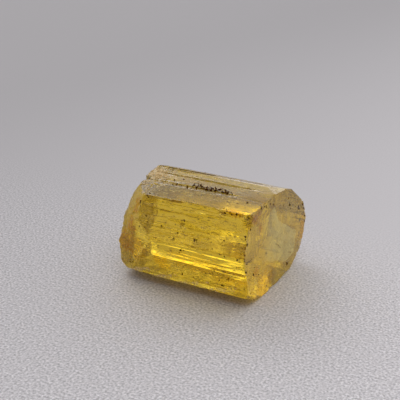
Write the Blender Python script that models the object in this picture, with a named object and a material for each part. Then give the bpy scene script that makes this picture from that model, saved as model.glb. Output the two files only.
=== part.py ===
"""An imperial topaz crystal, lying on one of its prism faces.

The crystal is a short, slightly flattened prism. Its long axis (the c axis of topaz) runs along X,
with the flat cleavage at +X and the rough break at -X. The Y axis points to the back and Z up.
The origin is at the bottom centre of its bounding box. Sizes are in metres.

The directions of the prism faces follow from the unit cell of topaz; the size of each face follows
from its distance to the axis of the crystal.
"""

import math
import random

import bmesh
import bpy
from mathutils import Matrix, Vector

NAME = "topaz_crystal"
MM = 0.001

# Unit cell of topaz, in angstroms. Only the ratio of the two shapes the prism.
CELL_A = 4.650
CELL_B = 8.797

# Distance of each prism face from the axis, in millimetres.
TOP_M = 4.58
BACK_TOP_L = 4.56
BACK_TOP_N = 4.80
BACK_B = 5.94
BACK_LOW_L = 6.58
BACK_LOW_M = 6.55
BACK_LOW_A = 5.35
BOTTOM_M = 4.42
FRONT_LOW_L = 5.09
FRONT_LOW_V = 6.17
FRONT_L = 6.50

# Where the crystal ends along its axis, in millimetres from the axis origin.
CLEAVAGE_X = 6.80
BREAK_X = -6.75

BLOCK_SIDE = 40.0  # mm, the block that all faces are cut from
GROWTH_SEED = 11
STEP_DEPTHS = (0.04, 0.12)  # mm, how far a growth step is let into a face
STEP_LENGTHS = (3.0, 11.0)  # mm, along the axis
STEP_WIDTHS = (0.18, 0.85)  # mm
STEP_TAPERS = (0.7, 3.0)  # mm, how far the slanting end of a step runs
STEP_CLEAR = 0.5  # mm, how far a cutter stands out of the face
PIT_WIDTHS = (0.10, 0.22)  # mm, half width of an etch pit
PIT_STRETCH = 2.4  # an etch pit is this much longer than wide
PIT_DEPTH = 0.11  # mm

BREAK_CELLS = 44  # cells along each side of the rough break's surface
BREAK_SIDE = 18.0  # mm, side of the sheet that makes the break
BREAK_FRONT_Y = -5.20  # mm, the Y at which the leaning break passes through BREAK_X
BREAK_LEAN_Y = 0.03  # how far it leans to the right for each millimetre toward the back
BREAK_LEAN_Z = 0.02  # and for each millimetre up
BREAK_BACK_X = -6.85  # mm, the furthest that the crystal reaches to the left
BREAK_LEDGE = 0.45  # mm, height of a cleavage ledge on the break
BREAK_LEDGE_SHARE = 0.65  # how far the break follows its ledges rather than the plain lean
BREAK_WAVE = 0.12  # mm, how far the edges of the ledges wander
BREAK_LUMP = 0.12  # mm, height of the lumps between the ledges
# Waves over the break, as (radians a mm along Y, radians a mm up, start).
LEDGE_WAVES = ((1.1, 0.6, 0.0), (0.5, -1.5, 1.0))
LUMP_WAVES = ((2.9, 1.7, 0.0), (-1.3, 2.3, 0.4))

COLOUR = (0.86, 0.62, 0.16, 1.0)
REFRACTION = 1.62
ROUGHNESS = 0.18


def face_angle(h, k):
    """Angle from the b axis to the normal of the prism face (h k 0), in degrees."""
    return math.degrees(math.atan2(h / CELL_A, k / CELL_B))


M = face_angle(1, 1)
L = face_angle(1, 2)
N = face_angle(1, 4)
V = face_angle(1, 8)
B_AXIS = 90.0 - M  # the b axis, above horizontal, once an m face lies flat

# Every face that runs the whole length: the angle of its normal in the YZ plane, its distance, and
# how many growth steps and etch pits it has. They go round from the top by way of the back, so
# neighbours in the list meet in an edge.
PRISM = (
    (90.0, TOP_M, 6, 4),
    (B_AXIS + L, BACK_TOP_L, 3, 2),
    (B_AXIS + N, BACK_TOP_N, 4, 4),
    (B_AXIS, BACK_B, 3, 3),
    (B_AXIS - L, BACK_LOW_L, 5, 4),
    (B_AXIS - M, BACK_LOW_M, 0, 0),
    (B_AXIS - 90.0, BACK_LOW_A, 3, 2),
    (-90.0, BOTTOM_M, 0, 0),
    (B_AXIS - 180.0 + L, FRONT_LOW_L, 3, 2),
    (B_AXIS - 180.0 - V, FRONT_LOW_V, 9, 5),
    (B_AXIS - 180.0 - L, FRONT_L, 8, 7),
)

# Cuts that do not follow the prism, as (a point in mm, outward normal).
CUTS = {
    "cleavage": ((CLEAVAGE_X, 0.0, 0.0), (1.0, 0.0, 0.0)),
    "top front bevel": ((0.0, -5.45, 4.33), (0.0, -0.10, 1.0)),
    "top right bevel": ((6.8, -5.0, 4.35), (0.045, -0.050, 1.0)),
    "back right bevel": ((5.4, 1.3, 4.48), (0.16, 0.15, 1.0)),
    "top left chip": ((-4.0, -1.3, 4.60), (-0.25, -0.12, 0.96)),
    "front left break": ((-6.11, -4.88, 0.51), (-0.629, -0.720, 0.294)),
    "upper left break": ((-5.25, -4.00, 3.40), (-0.727, -0.488, 0.482)),
    "lower left lobe": ((-6.80, -4.91, -2.02), (-0.30, -0.95, -0.05)),
    "lower left chip": ((-6.0, -5.66, -3.20), (-0.62, -0.42, -0.66)),
    "lower right chip": ((6.7, -5.35, -3.25), (0.55, -0.62, -0.56)),
}

# Shell-shaped chips on the edges, as (centre in mm, half sizes in mm). Each takes a shallow scoop.
CHIPS = (
    ((4.9, -6.35, 4.55), (1.6, 0.80, 0.90)),
    ((7.15, -5.75, 3.95), (0.62, 0.75, 1.15)),
    ((4.6, 2.2, 5.15), (1.9, 1.50, 0.80)),
    ((7.10, -7.05, 1.9), (0.60, 0.75, 1.00)),
    ((7.40, 6.0, -2.7), (0.70, 1.10, 0.95)),
    ((-4.3, -5.75, 4.95), (1.1, 0.95, 0.85)),
    ((-6.2, 4.3, 3.9), (1.4, 1.20, 1.10)),
    ((-6.48, -1.8, 3.73), (0.90, 1.00, 0.60)),
    ((7.15, 2.4, -4.95), (0.70, 2.20, 0.80)),
)


def unit(angle):
    """The direction at this angle in the YZ plane, in degrees from +Y toward +Z."""
    turn = math.radians(angle)
    return Vector((0.0, math.cos(turn), math.sin(turn)))


def corner(first, second):
    """Where two neighbouring prism faces meet, in the YZ plane."""
    a, b = unit(first[0]), unit(second[0])
    lines = Matrix(((a.y, a.z), (b.y, b.z)))
    y, z = lines.inverted() @ Vector((first[1], second[1]))
    return Vector((0.0, y, z))


def cut_by_plane(bm, point, normal):
    """Takes away what lies outside the plane and closes the cut with one face."""
    geometry = bm.verts[:] + bm.edges[:] + bm.faces[:]
    result = bmesh.ops.bisect_plane(
        bm, geom=geometry, plane_co=point, plane_no=normal, clear_outer=True, dist=1e-7
    )
    rim = [item for item in result["geom_cut"] if isinstance(item, bmesh.types.BMEdge)]
    bmesh.ops.contextual_create(bm, geom=rim)


def crystal_body():
    """The crystal with flat faces: a block cut by every prism face and by the cuts."""
    bm = bmesh.new()
    bmesh.ops.create_cube(bm, size=BLOCK_SIDE * MM)
    for angle, distance, _, _ in PRISM:
        cut_by_plane(bm, unit(angle) * distance * MM, unit(angle))
    for point, normal in CUTS.values():
        cut_by_plane(bm, Vector(point) * MM, Vector(normal).normalized())
    bmesh.ops.recalc_face_normals(bm, faces=bm.faces)
    return bm


def add_object(name, bm, collection):
    mesh = bpy.data.meshes.new(name)
    bm.to_mesh(mesh)
    bm.free()
    obj = bpy.data.objects.new(name, mesh)
    collection.objects.link(obj)
    return obj


def add_cutter(name, bm, collection):
    cutter = add_object(name, bm, collection)
    cutter.display_type = "WIRE"
    cutter.hide_render = True
    return cutter


def face_frame(index):
    """The two edges of a prism face, in mm, and a turn from X, across and outward to the part's axes."""
    face = PRISM[index]
    start = corner(PRISM[index - 1], face)
    end = corner(face, PRISM[(index + 1) % len(PRISM)])
    across = (end - start).normalized()
    normal = unit(face[0])
    turn = Matrix((Vector((1, 0, 0)), across, normal)).transposed().to_4x4()
    return start, end, turn


def place_cutter(name, bm, turn, foot, cutters):
    """Turns a cutter that is modelled in mm on a face at the origin, and puts it on its own face."""
    bm.transform(Matrix.Scale(MM, 4) @ Matrix.Translation(foot) @ turn)
    bmesh.ops.recalc_face_normals(bm, faces=bm.faces)
    add_cutter(name, bm, cutters)


def growth_step(rng, turn, foot, name, cutters):
    """One long shallow slot along the axis, whose two ends slant."""
    depth = rng.uniform(*STEP_DEPTHS)
    size = Vector((rng.uniform(*STEP_LENGTHS), rng.uniform(*STEP_WIDTHS), STEP_CLEAR))
    bm = bmesh.new()
    bmesh.ops.create_cube(bm, size=1.0)
    bmesh.ops.scale(bm, verts=bm.verts, vec=size)
    bmesh.ops.translate(bm, verts=bm.verts, vec=Vector((0, 0, STEP_CLEAR / 2 - depth)))
    tapers = {True: rng.uniform(*STEP_TAPERS), False: -rng.uniform(*STEP_TAPERS)}
    short_side = rng.choice((-1, 1))
    for vert in bm.verts:
        half_taper = tapers[vert.co.x > 0] / 2
        if vert.co.y * short_side > 0:
            vert.co.x -= half_taper
        else:
            vert.co.x += half_taper
    place_cutter(name, bm, turn, foot, cutters)


def etch_pit(rng, turn, foot, name, cutters):
    """One small four-sided pit, stretched along the axis."""
    width = rng.uniform(*PIT_WIDTHS)
    bm = bmesh.new()
    bmesh.ops.create_cone(bm, cap_ends=True, segments=4, radius1=0.0, radius2=2.0, depth=2.0)
    bmesh.ops.scale(bm, verts=bm.verts, vec=Vector((width * PIT_STRETCH, width, PIT_DEPTH)))
    place_cutter(name, bm, turn, foot, cutters)


def growth_marks(cutters):
    """Growth steps and etch pits, spread over each prism face."""
    rng = random.Random(GROWTH_SEED)
    for index, (_, _, steps, pits) in enumerate(PRISM):
        start, end, turn = face_frame(index)
        for make, count, kind in ((growth_step, steps, "step"), (etch_pit, pits, "pit")):
            for number in range(count):
                foot = start.lerp(end, (number + rng.uniform(0.15, 0.85)) / count)
                foot.x = rng.uniform(BREAK_X, CLEAVAGE_X)
                make(rng, turn, foot, f"{kind}_{index}_{number}", cutters)


def break_x(y, z):
    """How far along the axis the break lies at this place, in mm: cleavage ledges and small lumps."""
    lean = BREAK_X + BREAK_LEAN_Y * (y - BREAK_FRONT_Y) + BREAK_LEAN_Z * z
    x = max(lean, BREAK_BACK_X)
    wave, lump_wave = (
        [math.sin(along * y + up * z + start) for along, up, start in waves]
        for waves in (LEDGE_WAVES, LUMP_WAVES)
    )
    ledge = round((x + BREAK_WAVE * sum(wave)) / BREAK_LEDGE) * BREAK_LEDGE
    stepped = x + BREAK_LEDGE_SHARE * (ledge - x)
    lump = BREAK_LUMP * (math.prod(lump_wave) + 1.0) / 2
    return max(stepped, BREAK_BACK_X) + lump


def rough_break(cutters):
    """The sheet of the break, thickened away from the crystal, so that it takes the left end off."""
    bm = bmesh.new()
    half = BREAK_SIDE / 2
    bmesh.ops.create_grid(bm, x_segments=BREAK_CELLS, y_segments=BREAK_CELLS, size=half)
    sheet = bm.faces[:]
    for vert in bm.verts:
        y, z = vert.co.x, vert.co.y
        vert.co = Vector((break_x(y, z), y, z)) * MM
    raised = bmesh.ops.extrude_face_region(bm, geom=sheet)["geom"]
    outer = [item for item in raised if isinstance(item, bmesh.types.BMVert)]
    for vert in outer:
        vert.co.x = -BLOCK_SIDE * MM
    bmesh.ops.recalc_face_normals(bm, faces=bm.faces)
    add_cutter("rough_break", bm, cutters)


def edge_chips(cutters):
    """Ellipsoids that each scoop a shallow shell-shaped chip out of an edge."""
    for number, (centre, half_sizes) in enumerate(CHIPS):
        bm = bmesh.new()
        bmesh.ops.create_icosphere(bm, subdivisions=3, radius=1.0)
        bmesh.ops.scale(bm, verts=bm.verts, vec=Vector(half_sizes) * MM)
        bmesh.ops.translate(bm, verts=bm.verts, vec=Vector(centre) * MM)
        add_cutter(f"edge_chip_{number}", bm, cutters)


def topaz_material():
    """Clear golden topaz."""
    material = bpy.data.materials.new("golden_topaz")
    material.use_nodes = True
    shader = material.node_tree.nodes["Principled BSDF"]
    shader.inputs["Base Color"].default_value = COLOUR
    shader.inputs["Metallic"].default_value = 0.0
    shader.inputs["Roughness"].default_value = ROUGHNESS
    shader.inputs["IOR"].default_value = REFRACTION
    shader.inputs["Transmission Weight"].default_value = 1.0
    return material


def new_collection(name):
    collection = bpy.data.collections.new(name)
    bpy.context.scene.collection.children.link(collection)
    return collection


def apply_cuts(crystal, cutters):
    """Cuts every shape in the collection from the crystal, and bakes the result into its mesh."""
    for cutter in cutters.objects:
        cut = crystal.modifiers.new(cutter.name, "BOOLEAN")
        cut.operation = "DIFFERENCE"
        cut.solver = "EXACT"
        cut.object = cutter
    graph = bpy.context.evaluated_depsgraph_get()
    whole = bpy.data.meshes.new_from_object(crystal.evaluated_get(graph))
    crystal.modifiers.clear()
    crystal.data = whole
    whole.name = NAME


def stand_on_origin(crystal):
    """Moves the mesh so that the origin is at the bottom centre of its bounding box."""
    points = [vert.co for vert in crystal.data.vertices]
    low = Vector([min(point[axis] for point in points) for axis in range(3)])
    high = Vector([max(point[axis] for point in points) for axis in range(3)])
    foot = Vector(((low.x + high.x) / 2, (low.y + high.y) / 2, low.z))
    crystal.data.transform(Matrix.Translation(-foot))


def build():
    for obj in list(bpy.data.objects):
        bpy.data.objects.remove(obj, do_unlink=True)
    parts = new_collection(NAME)
    cutters = new_collection("cutters")
    crystal = add_object(NAME, crystal_body(), parts)
    growth_marks(cutters)
    rough_break(cutters)
    edge_chips(cutters)
    apply_cuts(crystal, cutters)
    stand_on_origin(crystal)
    crystal.data.materials.clear()
    crystal.data.materials.append(topaz_material())


build()
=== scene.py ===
"""The finished look of an imperial topaz crystal, and the studio that shows it.

The file is laid out as a Blender add-on, and is run as a script. Each operator makes one piece, or
one group of like pieces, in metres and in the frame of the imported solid: the crystal's long axis
(its c axis) runs along X, with the flat cleavage at +X, and Z is up. Inside the mesh functions
lengths are in millimetres.
"""

import math
import random

import bmesh
import bpy
import numpy as np
from bpy.props import FloatProperty, FloatVectorProperty, IntProperty, PointerProperty
from mathutils import Euler, Matrix, Vector, noise
from mathutils.bvhtree import BVHTree


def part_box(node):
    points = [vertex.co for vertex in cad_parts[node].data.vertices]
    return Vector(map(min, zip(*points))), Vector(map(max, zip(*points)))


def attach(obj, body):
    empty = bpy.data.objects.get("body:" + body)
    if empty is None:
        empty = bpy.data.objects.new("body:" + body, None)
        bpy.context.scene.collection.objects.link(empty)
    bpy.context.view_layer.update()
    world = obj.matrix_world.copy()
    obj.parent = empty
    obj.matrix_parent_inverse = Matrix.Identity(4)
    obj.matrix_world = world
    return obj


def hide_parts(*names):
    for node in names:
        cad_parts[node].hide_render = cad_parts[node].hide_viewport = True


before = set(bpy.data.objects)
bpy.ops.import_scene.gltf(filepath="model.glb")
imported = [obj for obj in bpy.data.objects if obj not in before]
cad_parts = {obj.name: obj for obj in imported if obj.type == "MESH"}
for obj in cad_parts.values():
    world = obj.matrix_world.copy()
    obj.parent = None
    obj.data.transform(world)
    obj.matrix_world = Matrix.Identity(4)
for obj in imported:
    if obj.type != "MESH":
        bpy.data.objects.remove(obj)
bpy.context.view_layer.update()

bl_info = {
    "name": "Imperial topaz crystal",
    "version": (1, 0, 0),
    "blender": (4, 5, 0),
    "location": "3D View > Sidebar > Topaz",
    "description": "Builds a rough crystal of golden topaz with its oxide grains, tubes and flakes",
    "category": "Add Mesh",
}

MM = 0.001
NODE = "topaz_crystal"
BODY = "root"
LOW, HIGH = (Vector(corner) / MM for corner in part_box(NODE))  # mm, the crystal's box
CENTRE = np.array((0.0, 0.0, HIGH.z / 2))  # mm, on the centre line that all columns turn about
ALONG, ACROSS, UP = (Vector(way) for way in ((1.0, 0.0, 0.0), (0.0, 1.0, 0.0), (0.0, 0.0, 1.0)))

# How the surface is laid out: columns run along the crystal, rows run round it.
COLUMNS = 832  # a multiple of 8, so that the columns can be halved toward the middle of an end
CLEAVAGE_ROWS = 14
SIDE_ROWS = 74
BREAK_ROWS = 80
RIM_CROWDING = 1.7  # above 1, the rows of the cleavage crowd toward its rim
# How many columns share a point, and where: as shares of the way out over the cleavage and of the
# way in over the break.
JOINED = (1, 2, 4)
JOINED_MOST = 8
CLEAVAGE_BEYOND = (1 / 2, 1 / 4, 1 / 8)
BREAK_WITHIN = (0.02, 1 / 2, 3 / 4)
PROFILE_STEPS = 420  # rays in the outline of one column
SECTION_STEPS = 720  # rays round one cross-section
SECTIONS = (-0.45, -0.2, 0.0, 0.25, 0.6)  # where those are taken, in half lengths
NUDGES = 5
NUDGE = (1e-5, 2e-5, 1e-5)  # added to a ray that slips between two triangles
SAME_FACE = 0.02  # two normals closer than this belong to one long face
LEAST_HITS = 12  # a long face is hit at least this often in all the sections
CLEAVAGE_LEAN = 0.7  # a surface whose normal points this much to +X is the cleavage
BREAK_LEAN = -0.4  # and one that points this much to -X is the break
BREAK_RUN = 4  # rays more that must point elsewhere, where the break ends
LEAST_CROSSING = 0.05  # surfaces more nearly parallel than this have no corner between them
DEEPEST_STEP = 0.16  # mm, what lies deeper under a long face is a chip or a cut
STEP_SOFTNESS = 7.0  # rows over which the ends of a growth step are rounded off
UNTANGLINGS = 5  # passes that even out folds in the relief
SHARP_FROM = math.radians(38.0)  # edges sharper than this keep a crease in the shading
SOFTENED_FROM = (0.8, 2.0)  # mm from the cleavage over which that sets in

# Growth lines along the long faces.
LINE_SEED = 5
LINE_WIDTHS = (0.06, 0.34)  # mm, from one line to the next
LINE_SETS = 5  # sets of lines that follow each other along the crystal
LINE_REACH = 2.2  # mm, how far each set runs from its middle
LINES_PLAIN = 0.35  # share of the line depth on an ordinary face
# Long faces that are lined more deeply, as (angle of the normal in degrees, share).
LINED_FACES = ((194.55, 1.0), (251.3, 0.9), (90.0, 0.5), (164.45, 0.45), (27.9, 0.6))

PIT_SEED = 23
PIT_LENGTHS = (0.12, 0.50)  # mm
PIT_SLIMNESS = (0.25, 0.55)  # an etch pit's width, as a share of its length
PIT_DEPTHS = (0.012, 0.05)  # mm
ETCH_DEPTH = 0.03  # mm, relief of the etched underside
ETCHED_FROM = (3.5, 7.0)  # mm from the cleavage over which the etching sets in
WEAR_WIDTH = 0.11  # mm, how far from an edge the wear reaches
LEAST_WEAR = 0.015  # mm, along every edge
CHIPPED = (-0.1, 0.75)  # the noise over which an edge goes from whole to chipped
SWELL = 0.012  # mm, slow swell of the long faces
RIPPLE = 0.010  # mm, ripple of the cleavage
BREAK_SHARE = 0.6  # of the break's depth, which its lumps and its ledges each take up

# Noise in the relief and the masks, as {what: (lumps per mm, octaves, where it starts)}.
NOISES = {
    "wander of the lines": ((0.0, 1.9, 1.9), 1, 3.0),
    "swell": ((0.25, 0.9, 0.9), 2, 11.0),
    "lumps": (2.4, 4, 5.0),
    "ledges": ((1.1, 3.2, 1.4), 3, 17.0),
    "ripple": ((0.0, 1.1, 0.7), 2, 29.0),
    "chips": (1.9, 3, 41.0),
    "etching": (3.0, 3, 71.0),
    "reach of the break": (1.4, 1, 8.0),
    "stains": (1.7, 3, 51.0),
    "pale spots": (1.7, 3, 53.0),
}
NOISE_SHIFT = (1.0, 2.3, -1.7)  # the way along which its start is moved
LINE_WANDER = 1.6  # mm, how unevenly the sets of lines end

# Where the masks set in. A facing is the share of a surface's normal that points that way.
BREAK_REACH = (0.45, 0.35, 0.05)  # mm beside the break: the middle, how far it strays, the least
BREAK_HALF = (0.0, 2.0)  # mm left of the crystal's middle
BREAK_FACING = (0.34, 0.5)
SHADE_PAINTED_FACING = (0.89, 0.94)
ETCHED_FACING = (0.6, 0.85)
SHEEN_PAINTED_FACING = (0.85, 0.97)
SPOT_EDGE = (-0.15, 0.55)  # shares of a spot's radius inside its rim over which it sets in
SPOT_WOBBLE = 0.5  # how uneven that rim is

FLOOR_SIZE = 1.4  # metres
# Painted light falloff on the floor, as a share of its colour: (metres across the view, share) at
# both ends.
PAINTED_FALLOFF_WAY = (0.986, -0.165, 0.0)  # toward the brightest part of the painted light falloff
FLOOR_PAINTED_FALLOFF = ((-0.07, 1.0), (0.05, 1.6))
FLOOR_LUMPS = (5.0, 1.0, 0.5)  # the floor's grain: lumps per mm, detail, roughness
GRAIN_FADE = (0.0, 0.02)  # metres behind the crystal over which that fades
FAR_GRAIN = 0.1  # share of it that is left there

# The camera's frame, in pixels and millimetres.
FRAME_PIXELS = 400
SENSOR = 36.0
AIM_PIXEL = (250, 298)  # where the camera shows the crystal's lower right front corner
AIM_POINT = Vector((HIGH.x, LOW.y + 1.284, 1.0625))  # mm, that corner
LAMP_PLACE = (0.08, -0.06, 0.25)  # metres
LAMP_AIM = (0.0, 0.0, 0.004)  # metres
LAMP_SIZE = 0.2  # metres
WINDOW_DISTANCE = 0.6  # metres
# Pale windows, as (degrees round from the front, degrees up, width and height in metres, power as a
# share of the window power).
WINDOWS = (
    (-160.0, 8.0, 0.30, 0.14, 0.65),
    (-30.0, 6.0, 0.30, 0.14, 0.8),
    (-125.0, 45.0, 0.30, 0.3, 2.5),
)
BOUNCES = 24  # at most, of light inside the crystal
SKY_HEIGHTS = (0.0, 0.85)  # sines over which the room's light goes from low to high
FRONT_DARK = (-1.0, 0.2)  # cosines from the glow's way over which it goes from front to back
GLOW_START = -0.3  # cosine at which the back light starts
GLOW_WAY = (-0.34, 0.92, 0.17)  # toward the palest part of the room
AIR_GAP = 0.05  # mm, the crystal lies on the high grains of the floor, with air between

# Colours of the skin.
PALE_SKIN_AND_SHEEN = (1.0, 0.96, 0.82)  # colour of the crushed skin, also used for the painted sheen of the top face and the painted highlight along the foot edge
GOLD = (0.95, 0.62, 0.015)  # colour of a half-strength stain
UNDERSIDE_PAINTED_SHADE = (0.1, 0.05, 0.005)  # near-black tint of the faces that face down: painted shade that darkens the contact shadow under the crystal
SHEEN = (0.5, 0.45, 0.3)  # share of the mirror gloss that the satin skin keeps
DULL = (0.2, 0.15, 0.08)  # what is left of the gloss where iron stains it
SATIN_SPREAD = 0.12  # how much rougher than the gloss the long faces get
CLEAVAGE_ROUGHNESS = 0.5  # the cleavage's roughness, as a share of theirs
LEAST_STAIN = 0.45  # share of a stain that is left in its palest patches
OXIDE_RED = 3.2  # how much brighter the oxide is where it is thin
OXIDE_ROUGHNESS = (0.6, 0.9)
GLEAM_COLOURS = ((0.95, 0.85, 0.5), (1.0, 0.97, 0.82))  # of tubes and gleaming flakes

# Cloudy patches, as {what: (lumps per mm, detail, roughness, noise where they start and end)}.
CLOUDS = {
    "satin": (1.3, 3.0, 0.55, 0.4, 0.7),
    "stain": (4.0, 4.0, 0.65, 0.3, 0.65),
    "oxide": (9.0, 3.0, 0.55, 0.4, 0.7),
    "oxide finish": (9.0, 3.0, 0.55, 0.3, 0.7),
    "gleam": (5.0, 3.0, 0.55, 0.35, 0.65),
    "feather": (1.5, 3.0, 0.55, 0.35, 0.6),
    "flake": (6.0, 3.0, 0.55, 0.3, 0.7),
}

# Iron stains, as {where: (pixel in the camera's frame, (radius round and up in mm), strength)}. At
# half strength a stain is gold.
STAINS = {
    "below the top of the end": ((257, 219), (0.9, 0.8), 0.55),
    "tail of that stain": ((261, 227), (0.4, 0.7), 0.6),
    "front, near the end": ((234, 214), (1.0, 0.32), 0.75),
    "right rim of the end": ((302, 232), (0.55, 2.0), 0.75),
    "foot of the end": ((264, 283), (2.6, 1.7), 0.5),
    "low in the middle of the end": ((256, 272), (0.7, 0.5), 0.9),
    "low on the front": ((196, 264), (4.2, 1.3), 0.38),
    "low on the front, left": ((160, 262), (1.2, 0.8), 0.7),
    "smooth lobe at the left": ((134, 246), (1.7, 1.4), 0.65),
    "break, top": ((136, 206), (0.8, 1.0), 0.9),
    "break, middle": ((130, 224), (0.8, 0.8), 1.0),
    "back of the break": ((124, 240), (0.9, 1.2), 0.95),
}
# Pixels along the foot of the front, where a painted highlight stands in for the edge's reflection
# line.
HIGHLIGHT_FOOT_EDGE = ((140, 269), (160, 275), (182, 281), (204, 286), (226, 291))  # pixels along it
# Pale rough spots where the skin is crushed, in the same form; those along the foot edge are a
# painted highlight that stands in for the edge's bright reflection line.
PALE_AND_HIGHLIGHT_SPOTS = {
    "upper left corner": ((157, 173), (1.2, 0.7), 1.0),
    "edge below that corner": ((145, 182), (0.4, 0.6), 0.8),
    "upper right of the end": ((289, 206), (1.5, 1.2), 0.3),
    "left strip of the end": ((254, 236), (0.9, 2.8), 0.6),
    "top of the end ridge": ((249, 218), (0.4, 0.7), 0.8),
    **{f"painted highlight on the foot edge, {pixel[0]}": (pixel, (1.1, 0.30), 0.8) for pixel in HIGHLIGHT_FOOT_EDGE},
}

# Oxide grains, as {where: (first pixel, last pixel, how many, how far they stray in pixels)}.
GRAIN_RUNS = {
    "chain under the top edge": ((172, 184), (232, 193), 26, 1.0),
    "thick part of the chain": ((193, 186), (231, 193), 80, 1.1),
    "spur above the chain": ((196, 183), (210, 189), 14, 0.7),
    "upper left corner": ((150, 193), (142, 206), 7, 1.6),
    "left of the front": ((146, 200), (140, 235), 7, 2.5),
    "right of the amber patch": ((223, 209), (247, 219), 9, 1.0),
    "left of the amber patch": ((224, 214), (225, 208), 4, 0.8),
    "end ridge, upper": ((246, 216), (251, 231), 7, 0.9),
    "end ridge, middle": ((245, 235), (247, 247), 6, 0.6),
    "end ridge, lower": ((244, 255), (245, 282), 7, 0.9),
    "two spots on the front": ((192, 240), (197, 241), 7, 1.0),
    "red lump on the front": ((180, 252), (182, 249), 9, 1.2),
    "low on the front": ((198, 275), (216, 272), 9, 1.6),
    "low right of the front": ((236, 262), (248, 272), 7, 1.6),
    "foot of the front": ((178, 272), (246, 292), 12, 2.0),
    "lobe at the left": ((124, 259), (134, 262), 6, 1.4),
    "top of the end": ((264, 208), (276, 204), 9, 1.4),
    "upper right of the end": ((282, 200), (305, 209), 14, 2.2),
    "rim of the end": ((303, 202), (305, 226), 9, 0.5),
    "middle of the end": ((277, 245), (281, 247), 4, 0.8),
    "right of the end": ((290, 252), (293, 255), 6, 1.3),
    "lower right of the end": ((278, 262), (290, 265), 9, 1.6),
    "foot of the end": ((248, 268), (262, 288), 14, 3.0),
    "top face": ((172, 176), (252, 202), 7, 3.5),
    "scattered over the front": ((150, 215), (240, 262), 16, 9.0),
}
GRAIN_SEED = 31
GRAIN_SIZES = (0.04, 0.085)  # mm, radius
GRAIN_CLASSES = (0.6, 0.8, 1.0, 1.0, 1.5)  # sizes in turn, as shares of that radius
GRAIN_SUNK = 0.3  # radii that a grain's middle lies under the surface
GRAIN_LENGTHS = (1.0, 1.7)  # half lengths, in radii
GRAIN_WIDTHS = (0.6, 1.0)
GRAIN_THICKNESS = 0.6
GRAIN_LUMPS = (1.7, 0.55)  # lumps per radius, and their height in radii
GRAIN_VARIETY = 9.0  # how much the lumps differ from one grain to the next
END_CLEAR = 0.4  # mm, grains on the hidden sides stay this far from the ends
REST_CLEAR = 0.5  # mm, and this far above the bottom
HIDDEN_GRAINS = 90  # on the sides that the camera does not see

# Growth tubes near the surface, as (pixel, length in mm), on the front, the end and the top.
TUBE_SIGHTS = (
    ((160, 222), 1.0), ((152, 214), 0.5), ((168, 228), 0.7), ((180, 225), 0.9),
    ((214, 233), 0.9), ((225, 222), 0.6), ((234, 226), 0.5), ((240, 244), 1.0),
    ((248, 248), 0.7), ((237, 247), 0.8), ((222, 249), 0.8), ((205, 244), 0.5),
    ((266, 240), 0.6), ((276, 241), 0.5), ((244, 184), 1.0),
)
# Fine pale lines in the triangular facet between the top and the end, as (first pixel, last pixel,
# how many, length in mm, turn in degrees).
LINE_SIGHTS = (((252, 187), (262, 192), 4, 2.4, 29.0), ((247, 192), (256, 204), 7, 1.5, 29.0))
LINE_SIGHT_DEPTH = 0.03  # mm
LINE_SIGHT_WIDTH = 0.035  # mm
LINE_SIGHT_SPREAD = 0.6  # how unevenly they follow each other
LINE_SIGHT_LENGTHS = (0.6, 1.0)  # shares of that length
TUBE_SEED = 47
TUBE_SIDES = 6
TUBE_DEPTHS = (0.10, 0.45)  # mm under the surface
TUBE_WIDTHS = (0.035, 0.085)  # mm
TUBE_LENGTHS = (0.25, 1.1)  # mm
TUBE_LEAN = 0.03  # how far tubes lean, as a sine
TUBE_WAIST = 0.55  # share of its half length up to which a tube keeps its width
TUBE_CLEAR = (1.2, 0.6)  # mm, how far tubes stay from the break and the cleavage
TUBE_FACING = 0.3  # a tube strewn at random lies only where the surface faces an end less
END_FACING = 0.5  # where the surface faces an end more, a listed tube runs across

# The feather, a large flat crack under the end, inside these pixels.
FEATHER_OUTLINE = (
    (263, 224), (275, 207), (280, 221), (297, 231), (294, 252), (286, 261), (264, 262),
)
FEATHER_STEPS = 6  # points on each side of that outline
FEATHER_STRAY = 0.07  # mm, how far they stray
FEATHER_DEPTH = 0.22  # mm
FEATHER_FADE = (-3.3, -0.6)  # mm across the crystal over which it comes into sight
FEATHER_COVER = (0.2, 0.34)  # how much light it keeps back
CRACK_THICKNESS = 0.012  # mm

# Small flakes, as {where: (pixel, spread in pixels, how many, largest radius in mm, width as a
# share)}: frost on the skin, pale and rusty flakes under it, and gleaming ones that lie level.
FROST_CLUSTERS = {
    "frosted corner": ((157, 173), (5.0, 3.5), 380, 0.24, 0.5),
    "edge below the corner": ((146, 183), (2.0, 5.0), 60, 0.15, 0.5),
    "top face, left": ((174, 177), (13.0, 4.5), 260, 0.20, 0.4),
    "top edge at the back": ((230, 178), (36.0, 2.0), 120, 0.14, 0.4),
    "edge between top and front": ((212, 200), (26.0, 2.0), 60, 0.10, 0.5),
    # The four clusters at the foot are pale flakes that paint the bright reflection line along the
    # foot edge.
    "painted foot highlight, left": ((136, 269), (9.0, 1.0), 130, 0.14, 0.4),
    "painted foot highlight, second": ((158, 276), (8.0, 1.0), 130, 0.14, 0.4),
    "painted foot highlight, third": ((184, 283), (8.0, 1.0), 110, 0.14, 0.4),
    "painted foot highlight, right": ((218, 290), (10.0, 1.2), 80, 0.14, 0.4),
}
PALE_CLUSTERS = {
    "frosted corner": ((157, 173), (5.0, 3.5), 120, 0.30, 0.5),
    "top face": ((205, 186), (28.0, 5.0), 420, 0.28, 0.5),
    "break": ((136, 212), (4.0, 12.0), 60, 0.14, 0.5),
    "left rim": ((121, 235), (1.5, 12.0), 30, 0.10, 0.5),
    "ridge of the end": ((248, 250), (1.2, 18.0), 40, 0.10, 0.5),
    "lower front": ((200, 272), (30.0, 7.0), 140, 0.18, 0.4),
    "foot of the end": ((262, 282), (7.0, 7.0), 60, 0.13, 0.5),
    "upper right of the end": ((290, 207), (6.0, 6.0), 130, 0.22, 0.5),
}
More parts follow.
